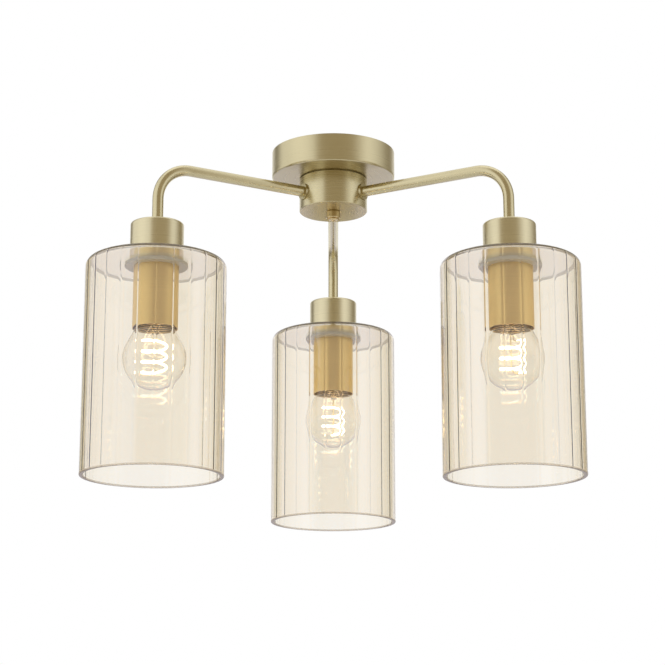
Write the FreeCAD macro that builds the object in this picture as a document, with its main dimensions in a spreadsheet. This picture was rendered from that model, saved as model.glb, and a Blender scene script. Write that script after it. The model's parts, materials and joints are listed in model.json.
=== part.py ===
"""Semi flush ceiling light: a round canopy and hub, three bent arms, three ribbed glass shades.

Millimetres. The origin is the centre of the canopy's face on the ceiling, +Z is up, and everything
hangs below z = 0. A length called a "drop" is measured down from the ceiling. Arm 1 points to +Y,
away from the viewer, and arms 2 and 3 follow counter-clockwise.
"""
import FreeCAD, Part
import math
import os

import Sketcher

Vector = FreeCAD.Vector

# ---------------------------------------------------------------- driving dimensions

DIMENSIONS = [
    ("canopy_radius", 46.25, "canopy: outside radius"),
    ("canopy_height", 20.5, "canopy: ceiling to underside"),
    ("canopy_wall", 1.0, "canopy: sheet thickness"),
    ("canopy_edge", 1.6, "canopy: outside radius of the lower edge"),
    ("bracket_margin", 3.25, "bracket: its ends to the canopy's inside"),
    ("bracket_width", 20.0, "bracket: across the strap"),
    ("bracket_thickness", 2.0, "bracket: sheet thickness"),
    ("slot_inset", 12.0, "bracket: its ends to the middles of the two screw slots"),
    ("slot_length", 14.0, "bracket: slot end to end"),
    ("slot_width", 4.5, "bracket: slot width"),
    ("tab_width", 22.0, "bracket: tab for the terminal block, across"),
    ("earth_offset", 14.0, "bracket: earth screw from the centre"),
    ("rod_radius", 3.0, "tie rod: shank radius"),
    ("rod_head_radius", 6.0, "tie rod: head radius"),
    ("rod_head_height", 1.2, "tie rod: head height, flush in the bracket"),
    ("rod_chamfer", 0.5, "tie rod: chamfer of its lower end"),
    ("rod_reach", 4.5, "tie rod: how far it stands out of the hub's underside"),
    ("hole_clearance", 0.2, "radial clearance of a rod, screw, grommet or cable in its hole"),
    ("thread_clearance", 0.05, "radial clearance between a thread and its nut"),
    ("lid_inset", 1.85, "hub lid: how far the joint line is set in from the hub's side"),
    ("lid_thickness", 0.5, "hub lid: height of the joint line"),
    ("lid_spigot", 2.5, "hub lid: height of the spigot inside the hub"),
    ("hub_radius", 25.45, "hub: outside radius"),
    ("hub_height", 25.0, "hub: height"),
    ("hub_wall", 4.45, "hub: wall thickness"),
    ("hub_floor", 3.0, "hub: floor thickness"),
    ("hub_edge", 0.4, "hub: chamfer of its two outer edges"),
    ("seat_margin", 0.1, "hub: how much wider the flat seat of an arm's collar is than the collar"),
    ("seat_depth", 0.8, "hub: depth of that seat below the outside radius"),
    ("finial_radius", 5.35, "finial nut: radius"),
    ("finial_height", 5.4, "finial nut: height of its wide part"),
    ("finial_edge", 0.5, "finial nut: chamfer"),
    ("finial_tip_radius", 3.5, "finial nut: radius of the tip"),
    ("finial_tip_height", 1.9, "finial nut: height of the tip"),
    ("finial_dome", 1.1, "finial nut: rise of the tip's dome"),
    ("arm_count", 3, "arms, evenly spaced"),
    ("first_arm_angle", 90.0, "direction of arm 1, degrees from +X"),
    ("arm_offset", 0.95, "arms: level centre line below the middle of the room inside the hub"),
    ("arm_reach", 144.8, "arms: hub axis to lamp axis"),
    ("tube_radius", 4.0, "arm tube: outside radius"),
    ("tube_wall", 1.0, "arm tube: wall"),
    ("tube_bend", 25.0, "arm tube: centre line radius of the bend"),
    ("collar_radius", 6.1, "arm tube: radius of the collar that rests on the hub's seat"),
    ("collar_height", 2.0, "arm tube: height of that collar"),
    ("tube_past_nut", 0.6, "arm tube: how far its inner end stands past its lock nut"),
    ("nut_across_flats", 13.0, "lock nut: across flats"),
    ("nut_height", 4.0, "lock nut: height"),
    ("cup_radius", 19.0, "cup: outside radius"),
    ("cup_below_arm", 43.8, "cup: its top below the arm's level centre line"),
    ("cup_height", 27.0, "cup: height"),
    ("cup_wall", 1.0, "cup: sheet thickness"),
    ("cup_edge", 1.8, "cup: outside radius of the upper edge"),
    ("cup_boss_radius", 8.0, "cup: radius of the threaded boss under its top"),
    ("cup_boss_height", 4.0, "cup: height of that boss"),
    ("gasket_thickness", 0.5, "gasket: thickness"),
    ("gasket_width", 1.8, "gasket: ring width"),
    ("shade_radius", 50.0, "glass shade: outside radius"),
    ("shade_height", 154.9, "glass shade: height"),
    ("shade_wall", 2.8, "glass shade: wall at the bottom of a flute"),
    ("shade_top", 3.0, "glass shade: thickness of its top"),
    ("glass_clearance", 0.6, "glass shade: radial clearance of its hole round the barrel"),
    ("shade_corner", 6.0, "glass shade: outside radius of the upper edge"),
    ("shade_lip", 0.7, "glass shade: outside radius of the lower rim"),
    ("flute_count", 24, "glass shade: flutes round the inside"),
    ("flute_depth", 0.3, "glass shade: depth of a flute below the ridges"),
    ("ring_radius", 22.5, "shade ring: outside radius"),
    ("ring_thickness", 2.2, "shade ring: thickness"),
    ("ring_edge", 0.5, "shade ring: chamfer of the lower edge"),
    ("barrel_radius", 13.8, "lampholder barrel: outside radius of its thread"),
    ("barrel_wall", 0.8, "lampholder barrel: wall"),
    ("barrel_recess", 15.05, "lampholder barrel: its lower end above the sleeve's"),
    ("holder_cap_gap", 1.0, "lampholder cap: gap below the cup's lock nut"),
    ("holder_neck_radius", 6.5, "lampholder cap: radius of the threaded neck"),
    ("holder_neck_height", 5.0, "lampholder cap: height of that neck"),
    ("holder_dome_height", 4.0, "lampholder cap: height of the sloping part"),
    ("holder_skirt_height", 4.5, "lampholder cap: height of the skirt round the barrel"),
    ("insert_gap", 1.2, "lampholder insert: gap below the cap's slope"),
    ("insert_recess", 18.9, "lampholder insert: its lower end above the sleeve's"),
    ("socket_depth", 21.5, "lampholder insert: depth of the socket"),
    ("shell_radius", 7.35, "lampholder screw shell: inside radius"),
    ("shell_wall", 0.45, "lampholder screw shell: wall"),
    ("contact_width", 4.0, "lampholder centre contact: strip width"),
    ("contact_gauge", 0.5, "lampholder centre contact: strip thickness"),
    ("contact_fall", 3.5, "lampholder centre contact: how far its free end springs down"),
    ("contact_margin", 1.0, "lampholder centre contact: its fixed end to the screw shell"),
    ("sleeve_room", 1.4, "lamp sleeve: radial room between its bore and the barrel"),
    ("sleeve_wall", 0.8, "lamp sleeve: wall"),
    ("sleeve_length", 44.8, "lamp sleeve: length below the shade ring"),
    ("sleeve_collar", 5.0, "lamp sleeve: height of the threaded collar in its top"),
    ("grommet_radius", 3.0, "cable grommet: radius in the hole"),
    ("grommet_flange", 1.3, "cable grommet: how far the flange stands out"),
    ("grommet_flange_height", 0.8, "cable grommet: flange height"),
    ("cable_radius", 1.5, "arm cable: outside radius"),
    ("cable_bend", 5.0, "arm cable: centre line radius of its bends beside the hub's axis"),
    ("pole_pitch", 8.0, "terminal block: pole to pole"),
    ("block_drop", 9.0, "terminal block: drop of the conductor holes"),
    ("block_length", 17.0, "terminal block: along the conductors"),
    ("block_height", 12.0, "terminal block: height"),
    ("block_side", 0.5, "terminal block: side wall past the outer poles' share"),
    ("block_bore_radius", 1.3, "terminal block: conductor hole radius"),
    ("block_gap", 0.8, "terminal block: straight cable between its last bend and the block"),
    ("well_radius", 1.9, "terminal block: clamp screw well radius"),
    ("clamp_screw_radius", 1.6, "clamp screw: radius"),
    ("clamp_screw_length", 3.4, "clamp screw: length"),
    ("clamp_screw_gap", 0.1, "clamp screw: how far it is backed out of the conductor hole"),
    ("driver_slot_width", 0.5, "clamp screw: width of its driver slot"),
    ("driver_slot_depth", 0.8, "clamp screw: depth of its driver slot"),
    ("fixing_screw_radius", 1.5, "block fixing screw: shank radius"),
    ("fixing_head_radius", 2.8, "block fixing screw: head radius"),
    ("fixing_head_height", 2.0, "block fixing screw: head height"),
    ("earth_screw_radius", 2.0, "earth screw: shank radius"),
    ("earth_head_radius", 3.7, "earth screw: head radius"),
    ("earth_head_height", 2.6, "earth screw: head height"),
    ("head_edge", 1.0, "pan head screws: slope of the head's lower edge"),
    ("screw_tip_gap", 0.3, "bracket screws: how far their tips stay below the ceiling"),
    ("washer_thickness", 1.0, "earth washer: thickness"),
    ("washer_radius", 4.5, "earth washer: radius"),
    ("bulb_radius", 22.5, "bulb: radius of the round glass"),
    ("bulb_crown", 35.0, "bulb: contact tip to the level of the round glass's top"),
    ("bulb_glass", 0.7, "bulb: glass thickness"),
    ("bulb_neck_gap", 0.3, "bulb: cement gap between the glass neck and the cap's skirt"),
    ("bulb_neck_length", 1.2, "bulb: straight glass neck below the cap"),
    ("cap_clearance", 0.4, "bulb cap: radial clearance of its thread in the screw shell"),
    ("cap_wall", 0.4, "bulb cap: sheet thickness"),
    ("cap_length", 22.5, "bulb cap: length"),
    ("cap_flare", 1.45, "bulb cap: how far its skirt stands out past the thread"),
    ("cap_skirt_height", 4.2, "bulb cap: skirt height"),
    ("insulator_height", 3.0, "bulb insulator: height under the contact tip"),
    ("tip_radius", 2.6, "bulb contact: radius"),
    ("tip_height", 0.8, "bulb contact: height"),
    ("tip_gap", 0.35, "bulb contact: gap to the lampholder's centre contact"),
    ("stem_radius", 1.9, "bulb stem: radius of the glass rod"),
    ("stem_length", 17.0, "bulb stem: length below the cap"),
    ("filament_radius", 8.6, "filament: radius of the spiral's centre line"),
    ("filament_gauge", 0.8, "filament: radius of the wire"),
    ("filament_pitch", 7.6, "filament: height of one turn"),
    ("filament_turns", 3, "filament: whole turns"),
    ("filament_gap", 5.0, "filament: stem's tip to the spiral's first turn"),
    ("lead_radius", 0.35, "filament lead: radius"),
]

doc = FreeCAD.newDocument("ceiling_light")
sheet = doc.addObject("Spreadsheet::Sheet", "dims")


class Size:
    """A size known both as a number and as a formula over the spreadsheet."""

    def __init__(self, formula, number):
        self.formula = str(formula)
        self.number = float(number)

    def combined(self, sign, other, number):
        return Size(f"({self.formula} {sign} {as_size(other).formula})", number)

    def __add__(self, other):
        return self.combined("+", other, self.number + as_size(other).number)

    def __sub__(self, other):
        return self.combined("-", other, self.number - as_size(other).number)

    def __mul__(self, other):
        return self.combined("*", other, self.number * as_size(other).number)

    def __truediv__(self, other):
        return self.combined("/", other, self.number / as_size(other).number)

    def __rsub__(self, other):
        return as_size(other) - self

    def __rtruediv__(self, other):
        return as_size(other) / self

    def __neg__(self):
        return Size(f"(0 - {self.formula})", -self.number)

    __radd__ = __add__
    __rmul__ = __mul__


def as_size(value):
    return value if isinstance(value, Size) else Size(value, value)


def root(size):
    return Size(f"sqrt({size.formula})", math.sqrt(size.number))


def sine(angle):
    return Size(f"sin({angle.formula} * 1 deg)", math.sin(math.radians(angle.number)))


def cosine(angle):
    return Size(f"cos({angle.formula} * 1 deg)", math.cos(math.radians(angle.number)))


class Dimensions:
    """The driving dimensions, one attribute each."""

    def __init__(self, rows):
        for row, (alias, value, meaning) in enumerate(rows, start=1):
            sheet.set(f"A{row}", meaning)
            sheet.set(f"B{row}", str(value))
            sheet.setAlias(f"B{row}", alias)
        doc.recompute()
        for alias, _, _ in rows:
            setattr(self, alias, Size(f"dims.{alias}", sheet.get(alias)))


d = Dimensions(DIMENSIONS)

# ---------------------------------------------------------------- worked-out places

rod_hole = d.rod_radius + d.hole_clearance
bracket_half = d.canopy_radius - d.canopy_wall - d.bracket_margin
hub_top = d.canopy_height + d.lid_thickness
hub_bottom = hub_top + d.hub_height
hub_floor_drop = hub_bottom - d.hub_floor
hub_bore = d.hub_radius - d.hub_wall
lid_radius = d.hub_radius - d.lid_inset
spigot_bottom = hub_top + d.lid_spigot
seat_plane = d.hub_radius - d.seat_depth
arm_pitch = 360 / d.arm_count
arm_drop = (spigot_bottom + hub_floor_drop) / 2 + d.arm_offset
tube_hole = d.tube_radius + d.thread_clearance
nut_corner = d.nut_across_flats / math.sqrt(3)
hub_nut_place = root(hub_bore * hub_bore - nut_corner * nut_corner) - d.nut_height - d.thread_clearance
tube_start = hub_nut_place - d.tube_past_nut
cup_drop = arm_drop + d.cup_below_arm
cup_nut_drop = cup_drop + d.cup_wall + d.cup_boss_height
gasket_drop = cup_drop + d.cup_height
shade_drop = gasket_drop + d.gasket_thickness
glass_hole = d.barrel_radius + d.glass_clearance
glass_floor_drop = shade_drop + d.shade_top
ring_bottom = glass_floor_drop + d.ring_thickness
sleeve_radius = d.barrel_radius + d.sleeve_room + d.sleeve_wall
sleeve_bottom = ring_bottom + d.sleeve_length
holder_drop = cup_nut_drop + d.nut_height + d.holder_cap_gap
slope_drop = holder_drop + d.holder_neck_height
tube_end_drop = slope_drop - d.thread_clearance
skirt_drop = slope_drop + d.holder_dome_height
skirt_radius = d.barrel_radius + d.thread_clearance + d.barrel_wall
barrel_drop = skirt_drop + d.thread_clearance
barrel_bottom = sleeve_bottom - d.barrel_recess
insert_drop = skirt_drop + d.insert_gap
insert_bottom = sleeve_bottom - d.insert_recess
insert_radius = d.barrel_radius - d.barrel_wall - d.thread_clearance
socket_floor = insert_bottom - d.socket_depth
shell_outside = d.shell_radius + d.shell_wall
tip_drop = socket_floor + d.contact_gauge + d.contact_fall
bulb_drop = tip_drop + d.tip_gap
cap_radius = d.shell_radius - d.cap_clearance
cap_skirt_radius = cap_radius + d.cap_flare
cap_bottom = bulb_drop + d.tip_height + d.cap_length
cap_skirt_drop = cap_bottom - d.cap_skirt_height
neck_radius = cap_skirt_radius - d.cap_wall - d.bulb_neck_gap
bulb_centre = bulb_drop + d.bulb_crown + d.bulb_radius
stem_tip_drop = cap_bottom + d.stem_length
cable_hole = d.cable_radius + d.hole_clearance
grommet_hole = d.grommet_radius + d.hole_clearance
cable_circle = d.pole_pitch / math.cos(math.pi / 6)
block_near = cable_circle + d.cable_bend + d.block_gap
block_top = d.bracket_thickness
block_far = block_near + d.block_length
block_middle = block_near + d.block_length / 2
block_half = d.pole_pitch * 1.5 + d.block_side


# ---------------------------------------------------------------- drawing helpers

class Bend:
    """A round way from one corner of an outline to the next, turning left or right."""

    def __init__(self, radius, left):
        self.radius = as_size(radius)
        self.left = left


def numbers(corner):
    return Vector(as_size(corner[0]).number, as_size(corner[1]).number, 0)


def arc_between(start, end, bend):
    """The arc from start to end, under a half turn; a sketch's arcs run counter-clockwise."""
    chord = end - start
    middle = (start + end) / 2
    rise = math.sqrt(max(bend.radius.number ** 2 - (chord.Length / 2) ** 2, 0))
    normal = Vector(-chord.y, chord.x, 0).normalize()
    centre = middle + normal * (rise if bend.left else -rise)
    first, last = (start, end) if bend.left else (end, start)
    angles = [math.atan2(p.y - centre.y, p.x - centre.x) for p in (first, last)]
    circle = Part.Circle(centre, Vector(0, 0, 1), bend.radius.number)
    return Part.ArcOfCircle(circle, angles[0], angles[1])


def bind(sketch, kind, *where, size):
    """Add a constraint whose value follows the sheet."""
    number = sketch.addConstraint(Sketcher.Constraint(kind, *where, as_size(size).number))
    sketch.setExpression(f"Constraints[{number}]", as_size(size).formula)


def fix_corner(sketch, edge, end, corner):
    """Hold one end of an edge at (across, up) from the sketch's origin."""
    for kind, axis, size in (("DistanceX", -2, corner[0]), ("DistanceY", -1, corner[1])):
        if as_size(size).number == 0:
            sketch.addConstraint(Sketcher.Constraint("PointOnObject", edge, end, axis))
        else:
            bind(sketch, kind, -1, 1, edge, end, size=size)


def draw_outline(sketch, steps, closed=True):
    """Draw corners joined by lines, or by the Bend that stands between two of them."""
    corners = [step for step in steps if not isinstance(step, Bend)]
    bends = {}
    seen = 0
    for step in steps:
        if isinstance(step, Bend):
            bends[seen - 1] = step
        else:
            seen += 1
    count = len(corners) if closed else len(corners) - 1
    ends = []
    for i in range(count):
        start = numbers(corners[i])
        end = numbers(corners[(i + 1) % len(corners)])
        if i in bends:
            edge = sketch.addGeometry(arc_between(start, end, bends[i]), False)
            ends.append((edge, 1, 2) if bends[i].left else (edge, 2, 1))
        else:
            ends.append((sketch.addGeometry(Part.LineSegment(start, end), False), 1, 2))
    for i in range(count if closed else count - 1):
        edge, _, end = ends[i]
        following, start, _ = ends[(i + 1) % count]
        sketch.addConstraint(Sketcher.Constraint("Coincident", edge, end, following, start))
    for i in range(count):
        fix_corner(sketch, ends[i][0], ends[i][1], corners[i])
        if i in bends:
            bind(sketch, "Radius", ends[i][0], size=bends[i].radius)
    if not closed:
        fix_corner(sketch, ends[-1][0], ends[-1][2], corners[-1])


def draw_circle(sketch, across, up, radius):
    centre = numbers((across, up))
    circle = Part.Circle(centre, Vector(0, 0, 1), as_size(radius).number)
    edge = sketch.addGeometry(circle, False)
    fix_corner(sketch, edge, 3, (across, up))
    bind(sketch, "Radius", edge, size=radius)


def new_sketch(body, plane, offset=0):
    """A sketch on one of the body's own origin planes, moved along its normal."""
    sketch = body.newObject("Sketcher::SketchObject", body.Name + "_sketch")
    support = [part for part in body.Origin.OriginFeatures if part.Role == plane][0]
    sketch.AttachmentSupport = [(support, "")]
    sketch.MapMode = "FlatFace"
    if as_size(offset).number != 0:
        sketch.setExpression("AttachmentOffset.Base.z", as_size(offset).formula)
    return sketch


def new_body(name):
    return doc.addObject("PartDesign::Body", name)


def turned(name, steps):
    """A body turned about Z from a closed outline of (radius, height)."""
    body = new_body(name)
    sketch = new_sketch(body, "XZ_Plane")
    draw_outline(sketch, steps)
    feature = body.newObject("PartDesign::Revolution", name + "_turn")
    feature.Profile = sketch
    feature.ReferenceAxis = (sketch, ["V_Axis"])
    feature.Angle = 360
    return body


def add(body, kind, sketch, length, along_normal=True):
    """Pad or pocket a sketch by a length, along its plane's normal or against it."""
    feature = body.newObject("PartDesign::" + kind, f"{sketch.Name}_{kind.lower()}")
    feature.Profile = sketch
    feature.Type = 0
    feature.setExpression("Length", as_size(length).formula)
    feature.Reversed = along_normal if kind == "Pocket" else not along_normal
    return feature


def repeat_round_axis(body, features, count):
    """Repeat cuts evenly round the body's Z axis."""
    pattern = body.newObject("PartDesign::PolarPattern", body.Name + "_pattern")
    pattern.Originals = features
    axis = [part for part in body.Origin.OriginFeatures if part.Role == "Z_Axis"][0]
    pattern.Axis = (axis, [""])
    pattern.Angle = 360
    pattern.setExpression("Occurrences", as_size(count).formula)
    body.Tip = pattern


def place(piece, across=0, depth=0, up=0):
    for axis, size in (("x", across), ("y", depth), ("z", up)):
        if as_size(size).number != 0:
            piece.setExpression(f"Placement.Base.{axis}", as_size(size).formula)
    return piece


def arm_angle(arm):
    return d.first_arm_angle + arm_pitch * arm


def turn_to_arm(piece, arm, reach=0, up=0):
    """Turn a piece that was made pointing to +X to its arm, and move it out along it."""
    angle = arm_angle(arm)
    piece.Placement = FreeCAD.Placement(Vector(), FreeCAD.Rotation(Vector(0, 0, 1), 1))
    piece.setExpression("Placement.Rotation.Angle", f"{angle.formula} * 1 deg")
    return place(piece, as_size(reach) * cosine(angle), as_size(reach) * sine(angle), up)


def group(name, pieces):
    """One node that holds several separate solids."""
    holder = doc.addObject("Part::Compound", name)
    holder.Links = pieces
    return holder


def cut(name, base, tool):
    piece = doc.addObject("Part::Cut", name)
    piece.Base = base
    piece.Tool = tool
    return piece


def cylinder(name, radius, height, up=0):
    piece = doc.addObject("Part::Cylinder", name)
    piece.setExpression("Radius", as_size(radius).formula)
    piece.setExpression("Height", as_size(height).formula)
    return place(piece, up=up)


def shape_node(name, shape):
    piece = doc.addObject("Part::Feature", name)
    piece.Shape = shape
    return piece


# ---------------------------------------------------------------- canopy, bracket and tie rod

def cable_holes(body, drop, depth):
    """Three round cable holes through a flat disc, from a drop downwards."""
    sketch = new_sketch(body, "XY_Plane", -drop)
    draw_circle(sketch, cable_circle, 0, grommet_hole)
    hole = add(body, "Pocket", sketch, depth, along_normal=False)
    repeat_round_axis(body, [hole], d.arm_count)
    turn_to_arm(body, 0)


def ceiling_canopy():
    outside = d.canopy_radius
    inside = d.canopy_radius - d.canopy_wall
    shoulder = d.canopy_height - d.canopy_edge
    floor = d.canopy_height - d.canopy_wall
    flat = outside - d.canopy_edge
    body = turned("ceiling_canopy", [
        (rod_hole, -d.canopy_height), (flat, -d.canopy_height), Bend(d.canopy_edge, True),
        (outside, -shoulder), (outside, 0), (inside, 0), (inside, -shoulder),
        Bend(d.canopy_edge - d.canopy_wall, False), (flat, -floor), (rod_hole, -floor)])
    cable_holes(body, floor, d.canopy_wall)
    return body


def mounting_bracket():
    body = new_body("mounting_bracket")
    half = d.bracket_width / 2
    straight = bracket_half - half
    strap = new_sketch(body, "XY_Plane")
    draw_outline(strap, [
        (-straight, -half), (straight, -half), Bend(half, True), (straight + half, 0), Bend(half, True),
        (straight, half), (-straight, half), Bend(half, True), (-straight - half, 0), Bend(half, True)])
    add(body, "Pad", strap, d.bracket_thickness, along_normal=False)
    tab = new_sketch(body, "XY_Plane")
    tab_half = d.tab_width / 2
    draw_outline(tab, [(-tab_half, 0), (tab_half, 0), (tab_half, block_far), (-tab_half, block_far)])
    add(body, "Pad", tab, d.bracket_thickness, along_normal=False)
    slots = new_sketch(body, "XY_Plane")
    reach = (d.slot_length - d.slot_width) / 2
    side = d.slot_width / 2
    for sign in (-1, 1):
        middle = sign * (bracket_half - d.slot_inset)
        draw_outline(slots, [
            (middle - reach, -side), (middle + reach, -side), Bend(side, True),
            (middle + reach + side, 0), Bend(side, True), (middle + reach, side),
            (middle - reach, side), Bend(side, True), (middle - reach - side, 0), Bend(side, True)])
    draw_circle(slots, 0, 0, d.rod_radius + d.thread_clearance)
    draw_circle(slots, -d.earth_offset, 0, d.earth_screw_radius + d.thread_clearance)
    draw_circle(slots, d.pole_pitch / 2, block_middle, d.fixing_screw_radius + d.thread_clearance)
    add(body, "Pocket", slots, d.bracket_thickness, along_normal=False)
    recess = new_sketch(body, "XY_Plane")
    draw_circle(recess, 0, 0, d.rod_head_radius + d.thread_clearance)
    add(body, "Pocket", recess, d.rod_head_height, along_normal=False)
    return body


def tie_rod():
    end = hub_bottom + d.rod_reach
    chamfer = d.rod_chamfer
    return turned("tie_rod", [
        (0, 0), (0, -end), (d.rod_radius - chamfer, -end), (d.rod_radius, -(end - chamfer)),
        (d.rod_radius, -d.rod_head_height), (d.rod_head_radius, -d.rod_head_height),
        (d.rod_head_radius, 0)])


# ---------------------------------------------------------------- terminals inside the canopy

def pole_places():
    return [d.pole_pitch * (pole - 1) for pole in range(3)]


def terminal_block():
    body = new_body("terminal_block")
    base = new_sketch(body, "XY_Plane", -block_top)
    draw_outline(base, [
        (-block_half, block_near), (block_half, block_near),
        (block_half, block_far), (-block_half, block_far)])
    add(body, "Pad", base, d.block_height, along_normal=False)
    bores = new_sketch(body, "XZ_Plane", -block_near)
    for across in pole_places():
        draw_circle(bores, across, -d.block_drop, d.block_bore_radius)
    add(body, "Pocket", bores, d.block_length, along_normal=False)
    wells = new_sketch(body, "XY_Plane", -(block_top + d.block_height))
    for across in pole_places():
        for along in screw_rows():
            draw_circle(wells, across, along, d.well_radius)
    add(body, "Pocket", wells, block_top + d.block_height - d.block_drop)
    fixing = new_sketch(body, "XY_Plane", -block_top)
    draw_circle(fixing, d.pole_pitch / 2, block_middle, d.fixing_screw_radius + d.hole_clearance)
    add(body, "Pocket", fixing, d.block_height, along_normal=False)
    return body


def screw_rows():
    return [block_near + d.block_length / 4, block_near + d.block_length * 3 / 4]


def clamp_screw(name, across, along):
    """A headless screw, backed out of its conductor hole, with a driver slot in its lower end."""
    bottom = d.block_drop + d.block_bore_radius + d.clamp_screw_gap + d.clamp_screw_length
    shank = cylinder(name + "_shank", d.clamp_screw_radius, d.clamp_screw_length, up=-bottom)
    slot = doc.addObject("Part::Box", name + "_slot")
    slot.setExpression("Length", (d.well_radius * 2).formula)
    slot.setExpression("Width", d.driver_slot_width.formula)
    slot.setExpression("Height", d.driver_slot_depth.formula)
    place(slot, -d.well_radius, -d.driver_slot_width / 2, -bottom)
    return place(cut(name, shank, slot), across, along)


def terminal_screws():
    screws = []
    for across in pole_places():
        for along in screw_rows():
            screws.append(clamp_screw(f"clamp_screw_{len(screws) + 1}", across, along))
    return group("terminal_screws", screws)


def pan_head_screw(name, radius, head_radius, head_height, seat):
    """A screw that points up, with its head under a seat at a drop and its tip short of the ceiling."""
    head = seat + head_height
    tip = d.screw_tip_gap
    return turned(name, [
        (0, -tip), (0, -head), (head_radius - d.head_edge, -head),
        (head_radius, -(head - d.head_edge)), (head_radius, -seat), (radius, -seat), (radius, -tip)])


def block_fixing_screw():
    seat = block_top + d.block_height
    screw = pan_head_screw("block_fixing_screw", d.fixing_screw_radius, d.fixing_head_radius,
                           d.fixing_head_height, seat)
    return place(screw, d.pole_pitch / 2, block_middle)


def earth_screw():
    seat = d.bracket_thickness + d.washer_thickness
    screw = pan_head_screw("earth_screw", d.earth_screw_radius, d.earth_head_radius,
                           d.earth_head_height, seat)
    return place(screw, -d.earth_offset)


def washer(name, inside, outside, drop, thickness):
    return turned(name, [
        (inside, -drop), (inside, -(drop + thickness)), (outside, -(drop + thickness)), (outside, -drop)])


def earth_washer():
    inside = d.earth_screw_radius + d.hole_clearance
    piece = washer("earth_washer", inside, d.washer_radius, d.bracket_thickness, d.washer_thickness)
    return place(piece, -d.earth_offset)


def cable_grommets():
    floor = d.canopy_height - d.canopy_wall
    flange = d.grommet_radius + d.grommet_flange
    grommets = []
    for arm in arms:
        piece = turned(f"cable_grommet_{arm + 1}", [
            (cable_hole, -(floor - d.grommet_flange_height)), (cable_hole, -spigot_bottom),
            (d.grommet_radius, -spigot_bottom), (d.grommet_radius, -floor), (flange, -floor),
            (flange, -(floor - d.grommet_flange_height))])
        grommets.append(turn_to_arm(piece, arm, cable_circle))
    return group("cable_grommets", grommets)


# ---------------------------------------------------------------- hub

def hub_lid():
    spigot = hub_bore - d.hole_clearance
    body = turned("hub_lid", [
        (rod_hole, -d.canopy_height), (rod_hole, -spigot_bottom), (spigot, -spigot_bottom),
        (spigot, -hub_top), (lid_radius, -hub_top), (lid_radius, -d.canopy_height)])
    cable_holes(body, d.canopy_height, d.lid_thickness + d.lid_spigot)
    return body


def hub_body():
    body = turned("hub_body", [
        (rod_hole, -hub_bottom), (d.hub_radius - d.hub_edge, -hub_bottom),
        (d.hub_radius, -(hub_bottom - d.hub_edge)), (d.hub_radius, -(hub_top + d.hub_edge)),
        (d.hub_radius - d.hub_edge, -hub_top), (hub_bore, -hub_top),
        (hub_bore, -hub_floor_drop), (rod_hole, -hub_floor_drop)])
    seat = new_sketch(body, "YZ_Plane", seat_plane)
    draw_circle(seat, 0, -arm_drop, d.collar_radius + d.seat_margin)
    seat_cut = add(body, "Pocket", seat, d.seat_depth * 2)
    bore = new_sketch(body, "YZ_Plane", d.hub_radius)
    draw_circle(bore, 0, -arm_drop, tube_hole)
    bore_cut = add(body, "Pocket", bore, d.hub_wall * 1.5, along_normal=False)
    repeat_round_axis(body, [seat_cut, bore_cut], d.arm_count)
    turn_to_arm(body, 0)
    return body


def finial_nut():
    bottom = hub_bottom + d.finial_height
    tip = bottom + d.finial_tip_height
    shoulder = tip - d.finial_dome
    hole = d.rod_radius + d.thread_clearance
    hole_end = hub_bottom + d.rod_reach + d.hole_clearance
    dome = (d.finial_tip_radius * d.finial_tip_radius + d.finial_dome * d.finial_dome) / (2 * d.finial_dome)
    return turned("finial_nut", [
        (hole, -hub_bottom), (hole, -hole_end), (0, -hole_end), (0, -tip), Bend(dome, True),
        (d.finial_tip_radius, -shoulder), (d.finial_tip_radius, -bottom),
        (d.finial_radius - d.finial_edge, -bottom), (d.finial_radius, -(bottom - d.finial_edge)),
        (d.finial_radius, -(hub_bottom + d.finial_edge)),
        (d.finial_radius - d.finial_edge, -hub_bottom)])


def lock_nut(name):
    """A hexagon nut from z = 0 upwards, bored for the arm tube's thread."""
    blank = doc.addObject("Part::Prism", name + "_blank")
    blank.Polygon = 6
    blank.setExpression("Circumradius", nut_corner.formula)
    blank.setExpression("Height", d.nut_height.formula)
    return cut(name, blank, cylinder(name + "_bore", tube_hole, d.nut_height))


def hub_lock_nuts():
    nuts = []
    for arm in arms:
        nut = lock_nut(f"hub_lock_nut_{arm + 1}")
        angle = arm_angle(arm)
        heading = FreeCAD.Rotation(Vector(0, 0, 1), angle.number)
        flats_level = FreeCAD.Rotation(Vector(0, 0, 1), 30)
        turn = heading.multiply(FreeCAD.Rotation(Vector(0, 1, 0), 90)).multiply(flats_level)
        nut.Placement = FreeCAD.Placement(Vector(), turn)
        place(nut, hub_nut_place * cosine(angle), hub_nut_place * sine(angle), -arm_drop)
        nuts.append(nut)
    return group("hub_lock_nuts", nuts)


# ---------------------------------------------------------------- arms

def arm_tube(arm):
    """A level stretch out of the hub, one bend, and a stretch down into the lampholder's neck.

    A collar outside the hub's wall stops it, and the lock nut inside pulls the collar onto its seat.
    """
    body = new_body(f"arm_tube_{arm + 1}")
    route = new_sketch(body, "XZ_Plane")
    draw_outline(route, [
        (tube_start, -arm_drop), (d.arm_reach - d.tube_bend, -arm_drop), Bend(d.tube_bend, False),
        (d.arm_reach, -(arm_drop + d.tube_bend)), (d.arm_reach, -tube_end_drop)], closed=False)
    section = new_sketch(body, "YZ_Plane", tube_start)
    draw_circle(section, 0, -arm_drop, d.tube_radius)
    draw_circle(section, 0, -arm_drop, d.tube_radius - d.tube_wall)
    sweep = body.newObject("PartDesign::AdditivePipe", body.Name + "_sweep")
    sweep.Profile = section
    sweep.Spine = route
    collar = new_sketch(body, "YZ_Plane", seat_plane)
    draw_circle(collar, 0, -arm_drop, d.collar_radius)
    draw_circle(collar, 0, -arm_drop, d.tube_radius - d.tube_wall / 2)
    add(body, "Pad", collar, d.collar_height)
    return turn_to_arm(body, arm)


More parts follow.
